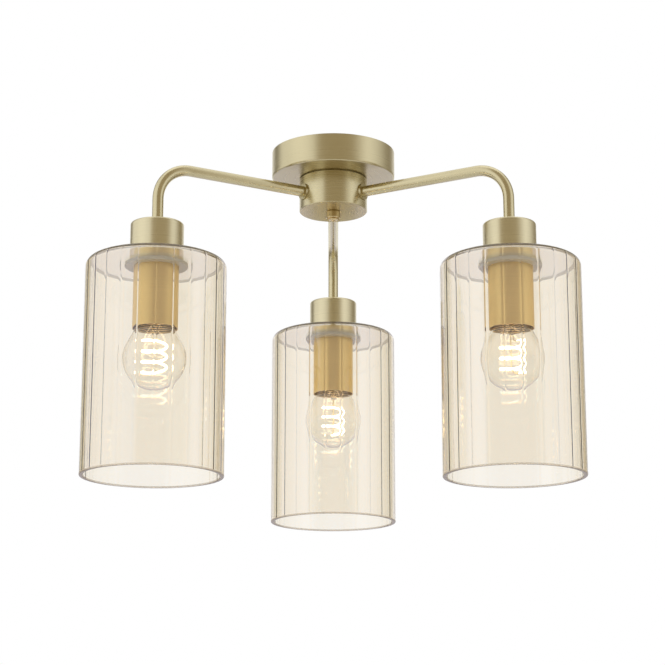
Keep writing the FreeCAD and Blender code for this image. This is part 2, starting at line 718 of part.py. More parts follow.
def pipe(radius, path):
    """A round solid swept along a wire of lines and tangent arcs."""
    start = path.Edges[0]
    heading = start.tangentAt(start.FirstParameter)
    circle = Part.Circle(start.valueAt(start.FirstParameter), heading, radius)
    section = Part.Wire([circle.toShape()])
    return path.makePipeShell([section], True, False)


def rounded_path(points, radii):
    """Lines through the points, with each inner corner rounded by its own radius."""
    edges = []
    last = points[0]
    for before, corner, after, radius in zip(points, points[1:], points[2:], radii):
        back = (before - corner).normalize()
        ahead = (after - corner).normalize()
        half = back.getAngle(ahead) / 2
        trim = radius / math.tan(half)
        inward = (back + ahead).normalize()
        middle = corner + inward * (radius / math.sin(half) - radius)
        start, end = corner + back * trim, corner + ahead * trim
        edges.append(Part.LineSegment(last, start).toShape())
        edges.append(Part.Arc(start, middle, end).toShape())
        last = end
    edges.append(Part.LineSegment(last, points[-1]).toShape())
    return Part.Wire(edges)


def arm_cable(arm):
    """One cable from the terminal block, through its grommet and arm, to the lampholder."""
    angle = math.radians(arm_angle(arm).number)
    outward = Vector(math.cos(angle), math.sin(angle), 0)
    rise = outward * cable_circle.number
    down = Vector(0, 0, -1)
    points = [
        Vector(rise.x, block_near.number, -d.block_drop.number),
        rise + down * d.block_drop.number,
        rise + down * arm_drop.number,
        outward * d.arm_reach.number + down * arm_drop.number,
        outward * d.arm_reach.number + down * insert_drop.number]
    bend = d.cable_bend.number
    path = rounded_path(points, [bend, bend, d.tube_bend.number])
    return shape_node(f"arm_cable_{arm + 1}", pipe(d.cable_radius.number, path))


# ---------------------------------------------------------------- cup, glass and lampholder

def cup(arm):
    inside = d.cup_radius - d.cup_wall
    under = cup_drop + d.cup_wall
    flat = d.cup_radius - d.cup_edge
    shoulder = cup_drop + d.cup_edge
    boss = under + d.cup_boss_height
    piece = turned(f"cup_{arm + 1}", [
        (tube_hole, -cup_drop), (tube_hole, -boss), (d.cup_boss_radius, -boss),
        (d.cup_boss_radius, -under), (flat, -under), Bend(d.cup_edge - d.cup_wall, False),
        (inside, -shoulder), (inside, -gasket_drop), (d.cup_radius, -gasket_drop),
        (d.cup_radius, -shoulder), Bend(d.cup_edge, True), (flat, -cup_drop)])
    return turn_to_arm(piece, arm, d.arm_reach)


def cup_lock_nuts():
    nuts = [turn_to_arm(lock_nut(f"cup_lock_nut_{arm + 1}"), arm, d.arm_reach, -(cup_nut_drop + d.nut_height))
            for arm in arms]
    return group("cup_lock_nuts", nuts)


def glass_gaskets():
    inside = d.cup_radius - d.gasket_width
    gaskets = []
    for arm in arms:
        piece = washer(f"glass_gasket_{arm + 1}", inside, d.cup_radius, gasket_drop, d.gasket_thickness)
        gaskets.append(turn_to_arm(piece, arm, d.arm_reach))
    return group("glass_gaskets", gaskets)


def glass_shade(arm):
    """A closed-top glass cylinder whose inside is scalloped by flutes that meet in ridges."""
    outside = d.shade_radius
    ridge = d.shade_radius - d.shade_wall - d.flute_depth
    bottom = shade_drop + d.shade_height
    lip = d.shade_lip
    body = turned(f"glass_shade_{arm + 1}", [
        (glass_hole, -shade_drop), (glass_hole, -glass_floor_drop), (ridge, -glass_floor_drop),
        (ridge, -bottom), (outside - lip, -bottom), Bend(lip, True), (outside, -(bottom - lip)),
        (outside, -(shade_drop + d.shade_corner)), Bend(d.shade_corner, True),
        (outside - d.shade_corner, -shade_drop)])
    half_angle = 180 / d.flute_count
    half_chord = ridge * sine(half_angle)
    rise = d.shade_radius - d.shade_wall - ridge * cosine(half_angle)
    flute_radius = (half_chord * half_chord + rise * rise) / (2 * rise)
    flute = new_sketch(body, "XY_Plane", -bottom)
    draw_circle(flute, d.shade_radius - d.shade_wall - flute_radius, 0, flute_radius)
    flute_cut = add(body, "Pocket", flute, d.shade_height - d.shade_top)
    repeat_round_axis(body, [flute_cut], d.flute_count)
    return turn_to_arm(body, arm, d.arm_reach)


def shade_ring(arm):
    inside = d.barrel_radius + d.hole_clearance
    edge = d.ring_edge
    outside = d.ring_radius
    piece = turned(f"shade_ring_{arm + 1}", [
        (inside, -glass_floor_drop), (inside, -ring_bottom), (outside - edge, -ring_bottom),
        (outside, -(ring_bottom - edge)), (outside, -glass_floor_drop)])
    return turn_to_arm(piece, arm, d.arm_reach)


def holder_cap(arm):
    """The lampholder's metal cap: a neck on the arm tube's thread, a slope and a skirt."""
    wall = d.barrel_wall
    inside = skirt_radius - wall
    skirt_end = skirt_drop + d.holder_skirt_height
    piece = turned(f"holder_cap_{arm + 1}", [
        (tube_hole, -holder_drop), (tube_hole, -slope_drop), (d.holder_neck_radius - wall, -slope_drop),
        (inside, -(skirt_drop)), (inside, -skirt_end), (skirt_radius, -skirt_end),
        (skirt_radius, -(skirt_drop - wall)), (d.holder_neck_radius, -(slope_drop - wall)),
        (d.holder_neck_radius, -holder_drop)])
    return turn_to_arm(piece, arm, d.arm_reach)


def holder_barrel(arm):
    outside = d.barrel_radius
    inside = d.barrel_radius - d.barrel_wall
    piece = turned(f"holder_barrel_{arm + 1}", [
        (inside, -barrel_drop), (inside, -barrel_bottom), (outside, -barrel_bottom), (outside, -barrel_drop)])
    return turn_to_arm(piece, arm, d.arm_reach)


def holder_insert(arm):
    socket = shell_outside + d.thread_clearance
    piece = turned(f"holder_insert_{arm + 1}", [
        (0, -insert_drop), (0, -socket_floor), (socket, -socket_floor), (socket, -insert_bottom),
        (insert_radius, -insert_bottom), (insert_radius, -insert_drop)])
    return turn_to_arm(piece, arm, d.arm_reach)


def holder_screw_shells():
    shells = []
    for arm in arms:
        piece = turned(f"holder_screw_shell_{arm + 1}", [
            (d.shell_radius, -(socket_floor + d.contact_gauge * 2)), (d.shell_radius, -insert_bottom),
            (shell_outside, -insert_bottom), (shell_outside, -(socket_floor + d.contact_gauge * 2))])
        shells.append(turn_to_arm(piece, arm, d.arm_reach))
    return group("holder_screw_shells", shells)


def holder_contacts():
    """Sprung strips: flat on the socket's floor, then sloping down to the bulb's contact."""
    gauge = d.contact_gauge
    fixed_end = d.shell_radius - d.contact_margin
    strips = []
    for arm in arms:
        body = new_body(f"holder_contact_{arm + 1}")
        sketch = new_sketch(body, "XZ_Plane", -d.contact_width / 2)
        draw_outline(sketch, [
            (-fixed_end, -socket_floor), (-fixed_end / 3, -socket_floor), (0, -(tip_drop - gauge)),
            (fixed_end / 3, -(tip_drop - gauge)), (fixed_end / 3, -tip_drop), (-gauge / 2, -tip_drop),
            (-fixed_end / 3 - gauge / 2, -(socket_floor + gauge)), (-fixed_end, -(socket_floor + gauge))])
        add(body, "Pad", sketch, d.contact_width)
        strips.append(turn_to_arm(body, arm, d.arm_reach))
    return group("holder_contacts", strips)


def lamp_sleeve(arm):
    """A plain tube screwed onto the barrel, which clamps the shade ring and the glass."""
    thread = d.barrel_radius + d.thread_clearance
    inside = sleeve_radius - d.sleeve_wall
    collar = ring_bottom + d.sleeve_collar
    piece = turned(f"lamp_sleeve_{arm + 1}", [
        (thread, -ring_bottom), (thread, -collar), (inside, -collar), (inside, -sleeve_bottom),
        (sleeve_radius, -sleeve_bottom), (sleeve_radius, -ring_bottom)])
    return turn_to_arm(piece, arm, d.arm_reach)


# ---------------------------------------------------------------- bulbs

def bulb_cap(arm):
    top = bulb_drop + d.tip_height + d.insulator_height
    wall = d.cap_wall
    slope_top = cap_skirt_drop - d.cap_flare
    piece = turned(f"bulb_cap_{arm + 1}", [
        (cap_radius - wall, -top), (cap_radius - wall, -slope_top),
        (cap_skirt_radius - wall, -cap_skirt_drop), (cap_skirt_radius - wall, -cap_bottom),
        (cap_skirt_radius, -cap_bottom), (cap_skirt_radius, -cap_skirt_drop),
        (cap_radius, -slope_top), (cap_radius, -top)])
    return turn_to_arm(piece, arm, d.arm_reach)


def bulb_contact(arm):
    """The cap's glass insulator with the contact in its middle."""
    shoulder = bulb_drop + d.tip_height
    bottom = shoulder + d.insulator_height
    piece = turned(f"bulb_contact_{arm + 1}", [
        (0, -bulb_drop), (0, -bottom), (cap_radius, -bottom), (d.tip_radius * 1.3, -shoulder),
        (d.tip_radius, -shoulder), (d.tip_radius * 0.7, -bulb_drop)])
    return turn_to_arm(piece, arm, d.arm_reach)


def bulb_envelope(arm):
    """Round glass with a cone that runs off it at a tangent up into the cap's skirt."""
    neck = neck_radius
    neck_end = cap_bottom + d.bulb_neck_length
    fall = bulb_centre - neck_end
    reach = root(neck * neck + fall * fall)
    lean = Size(f"(atan({(neck / fall).formula}) / 1 deg + acos({(d.bulb_radius / reach).formula}) / 1 deg)",
                math.degrees(math.atan2(neck.number, fall.number)
                             + math.acos(d.bulb_radius.number / reach.number)))
    outside = d.bulb_radius
    inside = d.bulb_radius - d.bulb_glass
    piece = turned(f"bulb_envelope_{arm + 1}", [
        (neck, -cap_skirt_drop), (neck - d.bulb_glass, -cap_skirt_drop), (neck - d.bulb_glass, -neck_end),
        (inside * sine(lean), -(bulb_centre - inside * cosine(lean))), Bend(inside, False),
        (inside, -bulb_centre), Bend(inside, False), (0, -(bulb_centre + inside)),
        (0, -(bulb_centre + outside)), Bend(outside, True), (outside, -bulb_centre),
        Bend(outside, True), (outside * sine(lean), -(bulb_centre - outside * cosine(lean))),
        (neck, -neck_end)])
    return turn_to_arm(piece, arm, d.arm_reach)


def bulb_stem(arm):
    """The glass foot that closes the neck, and the rod that carries the filament."""
    foot = cap_skirt_drop
    flare = neck_radius - d.bulb_glass
    piece = turned(f"bulb_stem_{arm + 1}", [
        (0, -foot), (0, -stem_tip_drop), (d.stem_radius, -stem_tip_drop),
        (d.stem_radius, -(foot + flare)), (flare, -(foot + d.bulb_glass)), (flare, -foot)])
    return turn_to_arm(piece, arm, d.arm_reach)


def biarc(start, heading, end, end_heading):
    """Two tangent arcs from start to end with the given headings."""
    gap = end - start
    both = heading + end_heading
    turn = 2 * (1 - heading.dot(end_heading))
    arm = (-gap.dot(both) + math.sqrt(gap.dot(both) ** 2 + turn * gap.dot(gap))) / turn
    joint = (start + end + (heading - end_heading) * arm) / 2
    edges = []
    for first, apex, last in ((start, start + heading * arm, joint), (joint, end - end_heading * arm, end)):
        weight = (last - first).Length / 2 / (apex - first).Length
        middle = (first + apex * (2 * weight) + last) / (2 + 2 * weight)
        edges.append(Part.Arc(first, middle, last).toShape())
    return edges


def filament_path():
    """Straight lead-in, whole turns of a spiral falling at a steady pitch, straight lead-out."""
    radius = d.filament_radius.number
    slope = d.filament_pitch.number / math.tau
    top = stem_tip_drop.number + d.filament_gap.number
    run = 2 * d.filament_gauge.number

    def at(angle):
        return Vector(radius * math.cos(angle), radius * math.sin(angle), -top - slope * angle)

    def heading(angle):
        return Vector(-radius * math.sin(angle), radius * math.cos(angle), -slope).normalize()

    quarters = 4 * int(d.filament_turns.number)
    edges = [Part.LineSegment(at(0) - heading(0) * run, at(0)).toShape()]
    for quarter in range(quarters):
        start = quarter * math.pi / 2
        edges += biarc(at(start), heading(start), at(start + math.pi / 2), heading(start + math.pi / 2))
    end = quarters * math.pi / 2
    edges.append(Part.LineSegment(at(end), at(end) + heading(end) * run).toShape())
    return Part.Wire(edges)


def least_self_gap(path, radius, spacing, apart):
    """Least distance between the surfaces of stretches of a tube that are apart along its length."""
    points = path.discretize(Distance=spacing)
    skip = int(apart / spacing)
    centres = min((points[i] - points[j]).Length
                  for i in range(len(points)) for j in range(i + skip, len(points)))
    return centres - 2 * radius


def bulb_filament(arm, path):
    """The spiral, and two lead wires that hold its ends from the stem."""
    ends = (path.Vertexes[0].Point, path.Vertexes[-1].Point)
    lead = d.lead_radius.number
    tip = -stem_tip_drop.number
    solids = [pipe(d.filament_gauge.number, path)]
    for sign, end in zip((1, -1), ends):
        inner = Vector(sign * d.stem_radius.number / 2, 0, tip)
        below = Vector(inner.x, inner.y, end.z)
        corner_room = (Vector(end.x, end.y, end.z) - below).Length
        route = rounded_path([inner, below, end], [min(corner_room, abs(end.z - tip)) * 0.45])
        solids.append(pipe(lead, route))
    piece = shape_node(f"bulb_filament_{arm + 1}", Part.Compound([solids[0]] + [
        solid.cut(solids[0]) for solid in solids[1:]]))
    return turn_to_arm(piece, arm, d.arm_reach)


# ---------------------------------------------------------------- assembly

arms = range(int(d.arm_count.number))
filament = filament_path()
nodes = [
    ceiling_canopy(), mounting_bracket(), tie_rod(), finial_nut(), hub_lid(), hub_body(),
    terminal_block(), terminal_screws(), block_fixing_screw(), earth_screw(), earth_washer(),
    cable_grommets(), hub_lock_nuts(), cup_lock_nuts(), glass_gaskets(), holder_screw_shells(),
    holder_contacts()]
for arm in arms:
    nodes += [
        arm_tube(arm), arm_cable(arm), cup(arm), glass_shade(arm), shade_ring(arm), holder_cap(arm),
        holder_barrel(arm), holder_insert(arm), lamp_sleeve(arm), bulb_cap(arm), bulb_contact(arm),
        bulb_envelope(arm), bulb_stem(arm), bulb_filament(arm, filament)]
doc.recompute()

# ---------------------------------------------------------------- tests and export

failed = [piece.Name for piece in doc.Objects if {"Invalid", "Error"} & set(piece.State)]
if failed:
    raise RuntimeError("features failed: " + ", ".join(failed))
for piece in nodes:
    if piece.Shape.isNull() or not piece.Shape.isValid() or not piece.Shape.Solids:
        raise RuntimeError("no valid shape: " + piece.Label)

gauge = d.filament_gauge.number
turn_length = math.tau * d.filament_radius.number
print("filament least self gap (mm):", round(least_self_gap(filament, gauge, gauge, turn_length / 3), 2))
os.makedirs("parts", exist_ok=True)
for piece in nodes:
    piece.Shape.exportStep(f"parts/{piece.Label}.step")
print("nodes:", len(nodes), " solids:", sum(len(piece.Shape.Solids) for piece in nodes))
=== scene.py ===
"""Looks for a semi flush ceiling light: satin champagne brass, fluted lustre glass, glowing bulbs.

Metres, in the frame of the CAD model: the origin is on the ceiling, +Z is up, and arm 1 points to
+Y, away from the viewer. Arms 2 and 3 follow counter-clockwise. Every CAD node keeps its shape
except the three glass shades, which new meshes with ridges inside stand for.
"""
import json
import math
import bmesh
import bpy
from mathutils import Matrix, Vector


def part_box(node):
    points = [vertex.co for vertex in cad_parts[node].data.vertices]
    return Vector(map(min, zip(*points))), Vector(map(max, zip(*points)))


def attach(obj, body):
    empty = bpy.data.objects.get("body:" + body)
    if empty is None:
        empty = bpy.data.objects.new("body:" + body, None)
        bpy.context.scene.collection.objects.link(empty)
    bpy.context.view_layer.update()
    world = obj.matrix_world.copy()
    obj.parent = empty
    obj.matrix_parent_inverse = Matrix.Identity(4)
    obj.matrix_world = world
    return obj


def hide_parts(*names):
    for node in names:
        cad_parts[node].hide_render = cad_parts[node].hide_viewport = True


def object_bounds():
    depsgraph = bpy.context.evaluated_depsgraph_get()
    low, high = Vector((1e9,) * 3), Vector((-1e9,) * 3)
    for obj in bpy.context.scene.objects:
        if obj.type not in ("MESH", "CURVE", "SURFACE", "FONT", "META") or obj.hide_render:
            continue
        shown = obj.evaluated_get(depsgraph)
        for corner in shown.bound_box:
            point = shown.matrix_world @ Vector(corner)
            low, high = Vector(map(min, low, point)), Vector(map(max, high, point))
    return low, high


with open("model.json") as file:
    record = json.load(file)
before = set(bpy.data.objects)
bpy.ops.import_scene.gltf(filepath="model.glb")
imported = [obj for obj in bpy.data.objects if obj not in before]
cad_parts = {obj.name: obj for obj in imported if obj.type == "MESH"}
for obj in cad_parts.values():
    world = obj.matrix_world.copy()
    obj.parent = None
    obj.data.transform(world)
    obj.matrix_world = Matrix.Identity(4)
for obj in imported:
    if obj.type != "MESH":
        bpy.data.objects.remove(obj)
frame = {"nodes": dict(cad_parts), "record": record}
cad_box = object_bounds()
ARMS = (1, 2, 3)
WHITE = (1.0, 1.0, 1.0)


# ---------------------------------------------------------------- node trees

# The sockets of a Mix node that belong to colours.
MIX_SHARE, MIX_FIRST, MIX_SECOND, MIX_RESULT = 0, 6, 7, 2


class Tree:
    """Short calls that add nodes to a node tree and join them."""

    def __init__(self, owner):
        owner.use_nodes = True
        self.tree = owner.node_tree
        self.tree.nodes.clear()

    def put(self, socket, value):
        if isinstance(value, bpy.types.NodeSocket):
            self.tree.links.new(value, socket)
        else:
            socket.default_value = value

    def add(self, kind, inputs=None, **settings):
        node = self.tree.nodes.new("ShaderNode" + kind)
        for key, value in settings.items():
            setattr(node, key, value)
        for key, value in (inputs or {}).items():
            self.put(node.inputs[key], value)
        return node

    def math(self, operation, *values):
        node = self.add("Math", operation=operation)
        for socket, value in zip(node.inputs, values):
            self.put(socket, value)
        return node.outputs[0]

    def mix(self, share, first, second):
        """A colour between first and second."""
        ends = {MIX_SHARE: share, MIX_FIRST: first, MIX_SECOND: second}
        return self.add("Mix", ends, data_type="RGBA", clamp_factor=True).outputs[MIX_RESULT]

    def span(self, value, low, high, to_low, to_high):
        """Value carried smoothly from low..high to to_low..to_high, and held at both ends."""
        node = self.add("MapRange", interpolation_type="SMOOTHSTEP")
        for socket, number in zip(node.inputs, (value, low, high, to_low, to_high)):
            self.put(socket, number)
        return node.outputs[0]

    def stray(self, noise, middle, shares, ends=(0.3, 0.7)):
        """A number that goes between two shares of its middle value, as a noise goes between its ends."""
        return self.span(noise, *ends, middle * shares[0], middle * shares[1])

    def tint(self, noise, colour, shares):
        """A colour that follows a noise, between two shares of its brightness."""
        return self.mix(noise, shade_of(colour, shares[0]), shade_of(colour, shares[1]))

    def relief(self, height, strength, distance, below=None):
        """The surface's normal with a relief in it, on top of the relief below if there is one."""
        inputs = {"Strength": strength, "Distance": distance, "Height": height}
        if below:
            inputs["Normal"] = below
        return self.add("Bump", inputs).outputs[0]

    def place(self):
        """The point in the part's own coordinates."""
        return self.add("TexCoord").outputs["Object"]

    def height(self):
        return self.add("SeparateXYZ", {0: self.place()}).outputs["Z"]

    def finish(self, shader, volume=None):
        output = self.add("OutputMaterial", {"Surface": shader.outputs[0]})
        if volume:
            self.put(output.inputs["Volume"], volume.outputs[0])


def shade_of(colour, share):
    return tuple(channel * share for channel in colour) + (1.0,)


def material(name):
    made = bpy.data.materials.new(name)
    return made, Tree(made)


def add_object(name, data):
    made = bpy.data.objects.new(name, data)
    bpy.context.scene.collection.objects.link(made)
    return made


# ---------------------------------------------------------------- camera

PHOTO_WIDTH = 665
FOCAL_PIXELS = 1892.4
SENSOR = 36.0
CAMERA_PLACE = (-0.0006, -1.3623, -0.4811)
CAMERA_PITCH = 14.067


def make_camera():
    data = bpy.data.cameras.new("photo_camera")
    data.sensor_width = SENSOR
    data.lens = FOCAL_PIXELS * SENSOR / PHOTO_WIDTH
    camera = add_object("photo_camera", data)
    camera.location = CAMERA_PLACE
    camera.rotation_euler = (math.radians(90 + CAMERA_PITCH), 0, 0)
    bpy.context.scene.camera = camera


# ---------------------------------------------------------------- studio

# The white world's strength where it lights the part. Where it shows, it has strength 1.
DIFFUSE_LEVEL = 0.85

FLOOR_DROP = 2.4
FLOOR_RADIUS = 9.0
FLOOR_SIDES = 96
FLOOR_GRAY = (0.86, 0.86, 0.85)
FLOOR_PALE = (0.9, 0.9, 0.89)
FLOOR_GRAIN = 1 / 9
# Distances from the floor's middle at which it starts to turn white, and is white.
FLOOR_FADE = (1.0, 4.0)

CARD_STEPS = 16
CARD_DISTANCE = 1.15
NEAR_CARD_DISTANCE = 0.5
# Heights of a card's lower and upper edge.
FULL_HEIGHT = (-1.4, 1.5)
LOW_HEIGHT = (-1.4, -0.22)


def seen_directly(tree):
    """1 for rays that show something, from the camera or through metal and glass, 0 for diffuse light."""
    path = tree.add("LightPath").outputs
    shown = tree.math("MAXIMUM", path["Is Camera Ray"], path["Is Glossy Ray"])
    return tree.math("MAXIMUM", shown, path["Is Transmission Ray"])


def make_world():
    world = bpy.data.worlds.new("white_studio")
    bpy.context.scene.world = world
    tree = Tree(world)
    strength = tree.span(seen_directly(tree), 0, 1, DIFFUSE_LEVEL, 1)
    background = tree.add("Background", {"Color": (*WHITE, 1), "Strength": strength})
    tree.add("OutputWorld", {"Surface": background.outputs[0]})


def make_floor():
    """A pale floor far below the light, which keeps its shadow and fades into the white distance."""
    mesh = bpy.data.meshes.new("floor")
    shape = bmesh.new()
    bmesh.ops.create_circle(shape, cap_ends=True, segments=FLOOR_SIDES, radius=FLOOR_RADIUS)
    shape.to_mesh(mesh)
    shape.free()
    floor = add_object("floor", mesh)
    floor.location.z = -FLOOR_DROP
    made, tree = material("pale_floor")
    grain = cloudy(tree, FLOOR_GRAIN, 6.0)
    colour = tree.mix(grain, (*FLOOR_GRAY, 1), (*FLOOR_PALE, 1))
    plain = tree.add("BsdfPrincipled", {"Base Color": colour, "Roughness": 0.8})
    white = tree.add("Emission", {"Color": (*WHITE, 1), "Strength": 1.0})
    away = tree.add("VectorMath", {0: tree.place()}, operation="LENGTH").outputs["Value"]
    fade = tree.math("MULTIPLY", tree.span(away, *FLOOR_FADE, 0, 1), seen_directly(tree))
    tree.finish(tree.add("MixShader", {0: fade, 1: plain.outputs[0], 2: white.outputs[0]}))
    mesh.materials.append(made)


def make_card(name, span, fade, heights, distance, tone, glass_tone):
    """A curved card that only shows where metal or glass mirrors it, and so shapes their gloss.

    It spans two angles round the light, counted in degrees from the viewer's side, and fades to
    white over some degrees at either end. It has a tone for metal and another for glass.
    """
    half = math.radians(span[1] - span[0]) / 2
    corners = []
    for i in range(CARD_STEPS + 1):
        angle = half * (2 * i / CARD_STEPS - 1)
        across, depth = distance * math.sin(angle), -distance * math.cos(angle)
        corners += [(across, depth, heights[0]), (across, depth, heights[1])]
    faces = [(2 * i, 2 * i + 2, 2 * i + 3, 2 * i + 1) for i in range(CARD_STEPS)]
    mesh = bpy.data.meshes.new(name)
    mesh.from_pydata(corners, [], faces)
    card = add_object(name, mesh)
    card.rotation_euler.z = math.radians(span[0] + span[1]) / 2
    card.visible_camera = False
    card.visible_diffuse = False
    card.visible_shadow = False
    made, tree = material(name)
    place = tree.add("SeparateXYZ", {0: tree.place()}).outputs
    angle = tree.math("ARCTAN2", place["X"], tree.math("MULTIPLY", place["Y"], -1.0))
    first = tree.span(angle, -half, -half + math.radians(fade[0]), 0, 1)
    last = tree.span(angle, half - math.radians(fade[1]), half, 1, 0)
    path = tree.add("LightPath").outputs
    mirrored = tree.math("GREATER_THAN", path["Glossy Depth"], 0.5)
    share = tree.math("MULTIPLY", tree.math("MULTIPLY", first, last), mirrored)
    shown = tree.mix(path["Transmission Depth"], (*tone, 1), (*glass_tone, 1))
    colour = tree.mix(share, (*WHITE, 1), shown)
    tree.finish(tree.add("Emission", {"Color": colour, "Strength": 1.0}))
    mesh.materials.append(made)


def make_lamp(name, angle, rise, distance, width, height, radiance):
    """A soft box that faces the light, at an angle from the viewer's side and above the horizon."""
    data = bpy.data.lights.new(name, "AREA")
    data.shape = "RECTANGLE"
    data.size, data.size_y = width, height
    data.energy = radiance * math.pi * width * height
    lamp = add_object(name, data)
    turn, tilt = math.radians(angle), math.radians(rise)
    away = Vector((math.sin(turn) * math.cos(tilt), -math.cos(turn) * math.cos(tilt), math.sin(tilt)))
    middle = (cad_box[0] + cad_box[1]) / 2
    lamp.location = middle + away * distance
    lamp.rotation_mode = "QUATERNION"
    lamp.rotation_quaternion = away.to_track_quat("Z", "Y")


def make_studio():
    bpy.context.scene.view_settings.view_transform = "Standard"
    make_world()
    make_floor()
    make_card("card_front", span=(-35, 62), fade=(8, 30), heights=FULL_HEIGHT,
              distance=NEAR_CARD_DISTANCE, tone=(0.435, 0.366, 0.255), glass_tone=(0.62, 0.58, 0.58))
    make_card("card_left", span=(-152, -112), fade=(14, 14), heights=FULL_HEIGHT,
              distance=CARD_DISTANCE, tone=(0.22, 0.20, 0.16), glass_tone=(0.84, 0.77, 0.64))
    make_card("card_right", span=(72, 152), fade=(54, 14), heights=FULL_HEIGHT,
              distance=CARD_DISTANCE, tone=(0.33, 0.29, 0.22), glass_tone=(0.80, 0.72, 0.60))
    make_card("card_back", span=(140, 220), fade=(1, 1), heights=LOW_HEIGHT,
              distance=CARD_DISTANCE, tone=(0.72, 0.71, 0.86), glass_tone=(0.72, 0.71, 0.86))
    for name, angle in (("soft_box_left", -65), ("soft_box_right", 65)):
        make_lamp(name, angle, rise=18, distance=2.4, width=1.3, height=1.8, radiance=0.12)
    make_lamp("soft_box_top", 0, rise=80, distance=2.2, width=1.6, height=1.6, radiance=0.3)


# ---------------------------------------------------------------- patterns

# Sizes of the patterns in the surfaces.
FINE_RINGS = 0.00022
COARSE_RINGS = 0.0011
THREAD_PITCH = 0.0016
TURNED_CLOUDS = 0.02
PLAIN_CLOUDS = 0.012
MOULDED_CLOUDS = 0.009
FILAMENT_CLOUDS = 0.004
METAL_GRAIN = 0.0004
MOULDED_GRAIN = 0.0006
GLASS_STREAKS = 0.005
BULB_WAVES = 0.02

# Strength and distance of each relief.
RING_RELIEF = (0.3, 0.000012)
THREAD_RELIEF = (1.0, 0.0004)
GRAIN_RELIEF = (0.06, 0.00001)
MOULDED_RELIEF = (0.35, 0.00003)
STREAK_RELIEF = (0.3, 0.00006)
BULB_RELIEF = (0.15, 0.0001)

# A face counts as flat when its normal has more of Z than this.
FACE_LIMIT = 0.7
# What the coarse rings count for in a turned piece's colour. The rest is its clouds.
RING_WEIGHT = 0.6
# How fast the streaks in glass change along Z, next to how fast they change across.
DRAWN_OUT = 0.04


def axis_distance(tree, centre):
    """Distance from the vertical axis through centre."""
    flat = {0: tree.place(), 1: (1.0, 1.0, 0.0)}
    level = tree.add("VectorMath", flat, operation="MULTIPLY").outputs[0]
    apart = tree.add("VectorMath", {0: level, 1: (centre.x, centre.y, 0.0)}, operation="DISTANCE")
    return apart.outputs["Value"]


def turned_rings(tree, centre, period):
    """Noise in rings round a vertical axis, as a lathe's tool leaves them."""
    facing = tree.add("SeparateXYZ", {0: tree.add("NewGeometry").outputs["Normal"]}).outputs["Z"]
    flat = tree.math("GREATER_THAN", tree.math("ABSOLUTE", facing), FACE_LIMIT)
    on_face = tree.math("MULTIPLY", axis_distance(tree, centre), flat)
    on_wall = tree.math("MULTIPLY", tree.height(), tree.math("SUBTRACT", 1.0, flat))
    inputs = {"W": tree.math("ADD", on_face, on_wall), "Scale": 1 / period, "Detail": 3.0,
              "Roughness": 0.6}
    return tree.add("TexNoise", inputs, noise_dimensions="1D").outputs["Fac"]


def cloudy(tree, size, detail=4.0):
    inputs = {"Vector": tree.place(), "Scale": 1 / size, "Detail": detail}
    return tree.add("TexNoise", inputs).outputs["Fac"]


def drawn_streaks(tree, width):
    """Noise that is drawn out along Z, as in glass that was pulled while soft."""
    stretch = {0: tree.place(), 1: (1.0, 1.0, DRAWN_OUT)}
    drawn = tree.add("VectorMath", stretch, operation="MULTIPLY").outputs[0]
    return tree.add("TexNoise", {"Vector": drawn, "Scale": 1 / width, "Detail": 2.0}).outputs["Fac"]


def thread_waves(tree):
    """Even rounded waves along Z."""
    return tree.math("SINE", tree.math("MULTIPLY", tree.height(), math.tau / THREAD_PITCH))


# ---------------------------------------------------------------- materials

# Painted shade in the grooves of a threaded bore, and a painted highlight on its crests.
BORE_GROOVE_PAINTED_SHADE = (0.30, 0.15, 0.05)
BORE_CREST_PAINTED_HIGHLIGHT = (0.95, 0.70, 0.36)

GLASS_IOR = 1.5
FILM_NANOMETRES = 191.0
FILM_IOR = 1.70
AMBER = (0.76, 0.55, 0.12)
AMBER_DENSITY = 68.0
# Painted light at the glass's rim and painted shade along its top edge, for light that runs inside the
# wall.
RIM_PAINTED_LIGHT = (0.64, 0.53, 0.41)
RIM_PAINTED_LIGHT_HEIGHT = 0.0012
TOP_PAINTED_SHADE = (0.36, 0.28, 0.17)
TOP_PAINTED_SHADE_HEIGHT = 0.0030
TOP_PAINTED_SHADE_REACH = 0.0048
PAINTED_EDGE_SHARE = 0.45
BULB_TINT = (1.0, 0.99, 0.97)

WIRE = (0.9, 0.75, 0.45)
GLOW = (1.0, 0.86, 0.6)
GLOW_STRENGTH = 5.0
# The leads stay this near the bulb's axis, and the spiral stays farther out.
LEAD_REACH = 0.004


def metal(tree, base, gloss, normal):
    inputs = {"Base Color": base, "Metallic": 1.0, "Roughness": gloss, "Normal": normal}
    tree.finish(tree.add("BsdfPrincipled", inputs))


def turned_metal(name, centre, colour, roughness, shares, bore=0.0):
    """Satin lathe-turned metal: fine rings in its gloss and relief, and faint clouds in its colour.

    Inside the bore, if there is one, the metal is threaded, with painted shade in its grooves and a
    painted highlight on its crests.
    """
    made, tree = material(name)
    coarse = turned_rings(tree, centre, COARSE_RINGS)
    tone = tree.math("ADD", tree.math("MULTIPLY", coarse, RING_WEIGHT),
                     tree.math("MULTIPLY", cloudy(tree, TURNED_CLOUDS), 1 - RING_WEIGHT))
    base = tree.tint(tree.span(tone, 0.3, 0.7, 0, 1), colour, shares)
    gloss = tree.stray(coarse, roughness, (0.9, 1.12), (0.25, 0.75))
    normal = tree.relief(turned_rings(tree, centre, FINE_RINGS), *RING_RELIEF)
    if bore:
        inside = tree.math("LESS_THAN", axis_distance(tree, centre), bore)
        waves = thread_waves(tree)
        # Painted shade in the thread's grooves and a painted highlight on its crests.
        painted_thread_light = tree.mix(tree.span(waves, -0.6, 0.6, 0, 1), (*BORE_GROOVE_PAINTED_SHADE, 1), (*BORE_CREST_PAINTED_HIGHLIGHT, 1))
        base = tree.mix(inside, base, painted_thread_light)
        normal = tree.relief(tree.math("MULTIPLY", waves, inside), *THREAD_RELIEF, normal)
    metal(tree, base, gloss, normal)
    return made


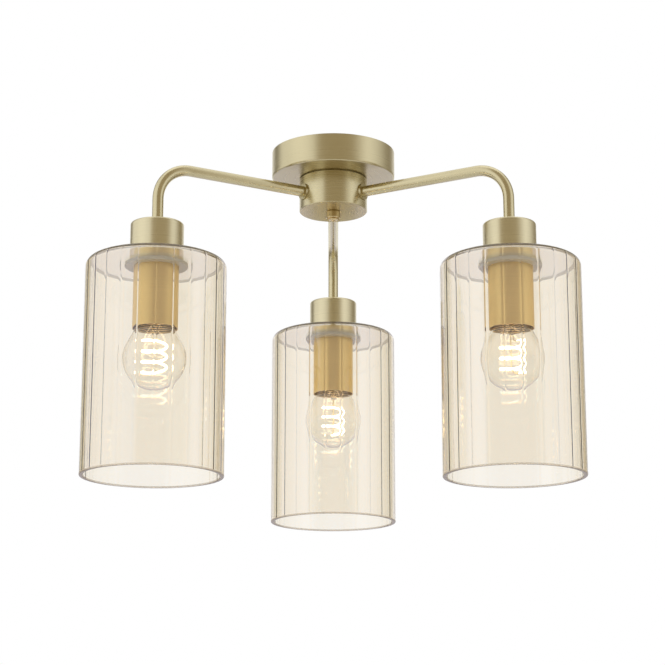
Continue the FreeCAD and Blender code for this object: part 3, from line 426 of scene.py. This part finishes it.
def plain_metal(name, colour, roughness):
    """Drawn or plated metal with a fine even grain."""
    made, tree = material(name)
    clouds = cloudy(tree, PLAIN_CLOUDS)
    base = tree.tint(clouds, colour, (0.93, 1.05))
    gloss = tree.stray(clouds, roughness, (0.9, 1.1))
    metal(tree, base, gloss, tree.relief(cloudy(tree, METAL_GRAIN, 2.0), *GRAIN_RELIEF))
    return made


def moulded(name, colour, roughness, specular):
    """Moulded plastic, rubber or ceramic: a fine surface grain and slight changes of tone."""
    made, tree = material(name)
    clouds = cloudy(tree, MOULDED_CLOUDS)
    tree.finish(tree.add("BsdfPrincipled", {
        "Base Color": tree.tint(clouds, colour, (0.93, 1.03)),
        "Roughness": tree.stray(clouds, roughness, (0.88, 1.1)),
        "Specular IOR Level": specular,
        "Normal": tree.relief(cloudy(tree, MOULDED_GRAIN, 3.0), *MOULDED_RELIEF)}))
    return made


def lustre_glass(name, node):
    """Clear champagne glass: amber where the light's way through it is long, with a faint lustre.

    At the rim and round the top edge the glass has no lustre and is painted brown: painted light
    at the rim and painted shade along the top edge, for the light that runs inside the wall.
    """
    made, tree = material(name)
    low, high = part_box(node)
    centre = middle_of(node)
    height = tree.height()
    rim = tree.math("LESS_THAN", height, low.z + RIM_PAINTED_LIGHT_HEIGHT)
    reach = high.x - centre.x - TOP_PAINTED_SHADE_REACH
    far_out = tree.math("GREATER_THAN", axis_distance(tree, centre), reach)
    near_top = tree.math("GREATER_THAN", height, high.z - TOP_PAINTED_SHADE_HEIGHT)
    edge = tree.math("MAXIMUM", rim, tree.math("MULTIPLY", near_top, far_out))
    waves = drawn_streaks(tree, GLASS_STREAKS)
    clear = tree.add("BsdfPrincipled", {
        "Base Color": (*WHITE, 1), "Roughness": 0.0, "IOR": GLASS_IOR, "Transmission Weight": 1.0,
        "Thin Film Thickness": tree.span(edge, 0, 1, FILM_NANOMETRES, 0.0), "Thin Film IOR": FILM_IOR,
        "Normal": tree.relief(waves, *STREAK_RELIEF)})
    # Painted shade along the top edge and painted light at the rim, mixed in where the lustre is left
    # out.
    painted_top_shade = tree.tint(waves, TOP_PAINTED_SHADE, (0.88, 1.12))
    pale = tree.tint(waves, RIM_PAINTED_LIGHT, (0.92, 1.08))
    brown = tree.add("BsdfDiffuse", {"Color": tree.mix(rim, painted_top_shade, pale)})
    share = tree.math("MULTIPLY", edge, PAINTED_EDGE_SHARE)
    surface = tree.add("MixShader", {0: share, 1: clear.outputs[0], 2: brown.outputs[0]})
    depth = tree.add("VolumeAbsorption", {"Color": (*AMBER, 1), "Density": AMBER_DENSITY})
    tree.finish(surface, depth)
    return made


def clear_glass(name):
    """Thin blown glass with slight waves."""
    made, tree = material(name)
    tree.finish(tree.add("BsdfPrincipled", {
        "Base Color": (*BULB_TINT, 1), "Roughness": 0.0, "IOR": GLASS_IOR, "Transmission Weight": 1.0,
        "Normal": tree.relief(cloudy(tree, BULB_WAVES, 1.0), *BULB_RELIEF)}))
    return made


def glowing(name, centre):
    """The lit filament. Its spiral glows, and its two leads, near the axis, are bare wire."""
    made, tree = material(name)
    power = tree.stray(cloudy(tree, FILAMENT_CLOUDS), GLOW_STRENGTH, (0.85, 1.15), (0.2, 0.8))
    spiral = tree.math("GREATER_THAN", axis_distance(tree, centre), LEAD_REACH)
    tree.finish(tree.add("BsdfPrincipled", {
        "Base Color": (*WIRE, 1), "Roughness": 0.5, "Emission Color": (*GLOW, 1),
        "Emission Strength": tree.math("MULTIPLY", power, spiral)}))
    return made


# ---------------------------------------------------------------- looks of the record's slots

CHAMPAGNE = (0.634, 0.562, 0.355)
PALE_GOLD = (0.69, 0.618, 0.412)
AMBER_BRASS = (0.70, 0.56, 0.32)
SLEEVE_GOLD = (0.92, 0.72, 0.36)
# The shares of its colour that a turned piece goes between.
EVEN = (0.95, 1.02)
STREAKY = (0.40, 1.25)
# The sleeve's bore is everything nearer its axis than this share of its radius.
BORE_SHARE = 0.97

# Colour, roughness and evenness of turned metal, by slot.
TURNED = {
    "canopy_brass": (CHAMPAGNE, 0.30, EVEN),
    "hub_brass": (CHAMPAGNE, 0.27, EVEN),
    "finial_brass": (AMBER_BRASS, 0.22, EVEN),
    "cup_brass": (PALE_GOLD, 0.30, EVEN),
    "sleeve_brass": (SLEEVE_GOLD, 0.42, EVEN),
    "holder_brass": (AMBER_BRASS, 0.30, STREAKY),
}
# Colour and roughness of other metal, by slot.
PLAIN = {
    "arm_brass": (CHAMPAGNE, 0.26),
    "contact_brass": ((0.78, 0.60, 0.33), 0.25),
    "terminal_brass": ((0.75, 0.60, 0.36), 0.3),
    "zinc_steel": ((0.62, 0.63, 0.65), 0.32),
    "bulb_cap_metal": ((0.70, 0.70, 0.69), 0.25),
}
# Colour, roughness and specular level of plastic, rubber and ceramic, by slot.
MOULDED = {
    "terminal_plastic": ((0.80, 0.80, 0.77), 0.45, 0.5),
    "grommet_rubber": ((0.035, 0.035, 0.036), 0.7, 0.35),
    "gasket_silicone": ((0.72, 0.70, 0.67), 0.4, 0.5),
    "cable_sheath": ((0.74, 0.70, 0.58), 0.3, 0.5),
    "holder_ceramic": ((0.82, 0.81, 0.78), 0.12, 0.6),
    "bulb_insulator": ((0.03, 0.03, 0.035), 0.15, 0.6),
    "ring_acrylic": ((0.76, 0.73, 0.66), 0.2, 0.6),
}


def middle_of(node):
    low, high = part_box(node)
    return (low + high) / 2


def slot_material(slot, node):
    """The material of a record slot.

    Pieces whose look depends on where their axis stands get one each, and the others share theirs.
    """
    own_name = f"{slot}_{node}"
    centre = middle_of(node)
    if slot in TURNED:
        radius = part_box(node)[1].x - centre.x
        bore = radius * BORE_SHARE if slot == "sleeve_brass" else 0.0
        return turned_metal(own_name, centre, *TURNED[slot], bore)
    if slot == "filament_glow":
        return glowing(own_name, centre)
    if slot == "ribbed_glass":
        return lustre_glass(own_name, node)
    name = "look_" + slot
    if name in bpy.data.materials:
        return bpy.data.materials[name]
    if slot == "bulb_glass":
        return clear_glass(name)
    if slot in PLAIN:
        return plain_metal(name, *PLAIN[slot])
    return moulded(name, *MOULDED[slot])


def dress_frame():
    """Give every CAD node the look of its material slot."""
    for subpart in frame["record"]["subparts"]:
        node = subpart["node"]
        look = slot_material(subpart["material_slot"], node)
        for slot in frame["nodes"][node].material_slots:
            slot.material = look


# ---------------------------------------------------------------- glass shades

FLUTES = 24
FLUTE_COLUMNS = 16
RIDGE_HEIGHT = 0.0002
RIDGE_REACH = 0.0012
# The power of a ridge's flanks: 1 makes them straight, and more makes them hollow.
RIDGE_POWER = 1.3
# Degrees from the viewer's side to the first ridge, by arm.
RIDGE_TURN = {1: 7.5, 2: 5.3, 3: 3.1}

SHADE_WALL = 0.0028
SHADE_TOP = 0.003
SHADE_HOLE = 0.0144
SHADE_CORNER = 0.006
SHADE_INNER_CORNER = 0.0028
SHADE_LIP = 0.0007
CORNER_STEPS = 8
SHARP_ANGLE = 15
# A ring of points this far from each rounding keeps the long wall's smooth normals straight.
CORNER_GUARD = 0.0004
# Air above and below the clamped top. Without it the faces that touch it come out black.
CLAMP_GAP = 0.0001


def flute_angles(first):
    """Angles round a fluted wall, which crowd towards each ridge. The first one is on a ridge."""
    half = math.pi / FLUTES
    steps = [math.sin(math.pi * (i / FLUTE_COLUMNS - 0.5)) for i in range(FLUTE_COLUMNS)]
    return [first + half * (2 * flute + 1 + step) for flute in range(FLUTES) for step in steps]


def flute_radius(outside, first):
    """The inside radius of a fluted wall by angle: wide flutes that meet in low, sharp ridges."""
    deepest = outside - SHADE_WALL
    spacing = math.tau / FLUTES

    def radius(angle):
        turn = (angle - first) % spacing
        apart = deepest * min(turn, spacing - turn)
        return deepest - RIDGE_HEIGHT * max(0, 1 - apart / RIDGE_REACH) ** RIDGE_POWER

    return radius


def arc(across, height, radius, start, end):
    """Points (radius, height) on a round corner, from one angle to another in degrees."""
    turns = [math.radians(start + (end - start) * i / CORNER_STEPS) for i in range(CORNER_STEPS + 1)]
    return [(across + radius * math.cos(turn), height + radius * math.sin(turn)) for turn in turns]


def shade_profile(low, high, outside, inside):
    """Outline of a closed-top glass, from its hole over the top, down the outside and up the inside.

    Each entry is (radius, height). Inside is the inner wall's radius by angle, so the entries that
    follow that wall have a function as their radius.
    """
    def beside_wall(shift):
        return lambda angle: inside(angle) + shift

    top, under = high - CLAMP_GAP, high - SHADE_TOP + CLAMP_GAP
    shoulder, ceiling = top - SHADE_CORNER, under - SHADE_INNER_CORNER
    foot = low + SHADE_LIP
    profile = [(SHADE_HOLE, under), (SHADE_HOLE, top), (outside - SHADE_CORNER - CORNER_GUARD, top)]
    profile += arc(outside - SHADE_CORNER, shoulder, SHADE_CORNER, 90, 0)
    profile += [(outside, shoulder - CORNER_GUARD), (outside, foot + CORNER_GUARD)]
    profile += arc(outside - SHADE_LIP, foot, SHADE_LIP, 0, -90)
    for shift, height in arc(SHADE_LIP, foot, SHADE_LIP, -90, -180)[1:]:
        profile.append((beside_wall(shift), height))
    profile += [(inside, foot + CORNER_GUARD), (inside, ceiling - CORNER_GUARD)]
    for shift, height in arc(-SHADE_INNER_CORNER, ceiling, SHADE_INNER_CORNER, 0, 90):
        profile.append((beside_wall(shift), height))
    profile.append((beside_wall(-SHADE_INNER_CORNER - CORNER_GUARD), under))
    return profile


def turned_mesh(name, profile, angles, centre):
    """A closed profile turned about a vertical axis, with a column of points at each angle."""
    shape = bmesh.new()
    rings = []
    for radius, height in profile:
        ring = []
        for angle in angles:
            reach = radius(angle) if callable(radius) else radius
            ring.append(shape.verts.new(
                (centre.x + reach * math.cos(angle), centre.y + reach * math.sin(angle), height)))
        rings.append(ring)
    for one, other in zip(rings, rings[1:] + rings[:1]):
        for i in range(len(angles)):
            j = (i + 1) % len(angles)
            shape.faces.new([one[i], one[j], other[j], other[i]])
    bmesh.ops.recalc_face_normals(shape, faces=shape.faces)
    mesh = bpy.data.meshes.new(name)
    shape.to_mesh(mesh)
    shape.free()
    mesh.polygons.foreach_set("use_smooth", [True] * len(mesh.polygons))
    mesh.set_sharp_from_angle(angle=math.radians(SHARP_ANGLE))
    return add_object(name, mesh)


def make_shade(arm):
    """The fluted glass that takes the place of an arm's plain CAD glass."""
    node = f"glass_shade_{arm}"
    low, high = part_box(node)
    outside = (high.x - low.x) / 2
    first = math.radians(RIDGE_TURN[arm] - 90)
    profile = shade_profile(low.z, high.z, outside, flute_radius(outside, first))
    shade = turned_mesh(f"fluted_shade_{arm}", profile, flute_angles(first), middle_of(node))
    shade.data.materials.append(slot_material("ribbed_glass", node))
    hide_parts(node)
    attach(shade, "fixture")


# ---------------------------------------------------------------- build

make_camera()
make_studio()
dress_frame()
for arm in ARMS:
    make_shade(arm)
